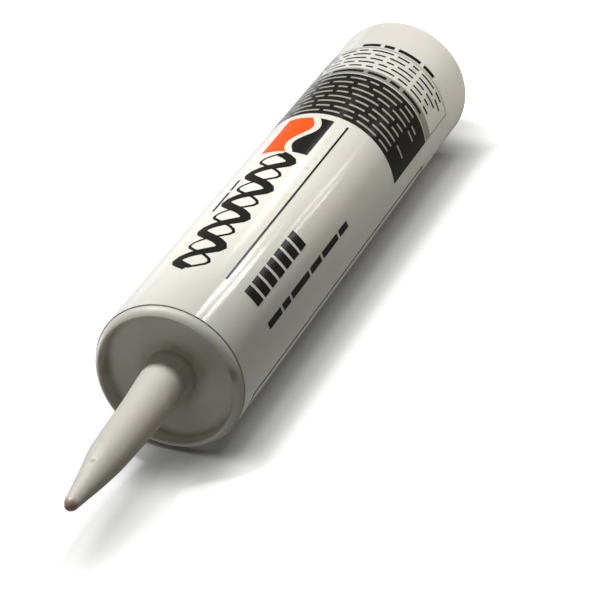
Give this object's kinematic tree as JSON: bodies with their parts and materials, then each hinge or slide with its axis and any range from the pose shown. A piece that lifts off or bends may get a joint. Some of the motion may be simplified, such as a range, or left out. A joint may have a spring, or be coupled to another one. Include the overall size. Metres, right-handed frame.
{
  "type": "caulk tube",
  "caption": "Caulk tube: a printed plastic barrel with a recessed end cap and long tapered nozzle, filled with sealant and closed behind by a sliding plunger.",
  "frame": {"origin": "centre of the rear rim, on which the tube stands", "axes": "+Z along the tube's axis, towards the nozzle's tip; -Y out of the printed side, between the rule and the bold blocks"},
  "size_m": [0.05, 0.05, 0.2882],
  "materials": {
    "barrel_plastic": "satin moulded polyethylene, off-white",
    "cap_plastic": "soft satin natural polyethylene, slightly greyer than the barrel",
    "seal_foil": "plain foil",
    "sealant_paste": "smooth cream paste",
    "plunger_plastic": "moulded polyethylene, white",
    "black_ink": "satin printing ink, black",
    "grey_ink": "satin printing ink, grey",
    "pale_ink": "satin printing ink, light grey",
    "orange_ink": "satin printing ink, orange"
  },
  "bodies": {
    "tube": {"barrel": "barrel_plastic", "end_cap": "cap_plastic", "inner_seal": "seal_foil", "sealant": "sealant_paste", "print_black": "black_ink", "print_grey": "grey_ink", "print_pale": "pale_ink", "print_orange": "orange_ink"},
    "plunger": {"plunger": "plunger_plastic"}
  },
  "joints": [
    {"name": "plunger_slide", "type": "slide", "parent": "tube", "child": "plunger", "axis": [0, 0, 1], "range_m": [0, 0.174], "deforming": ["sealant"]}
  ]
}
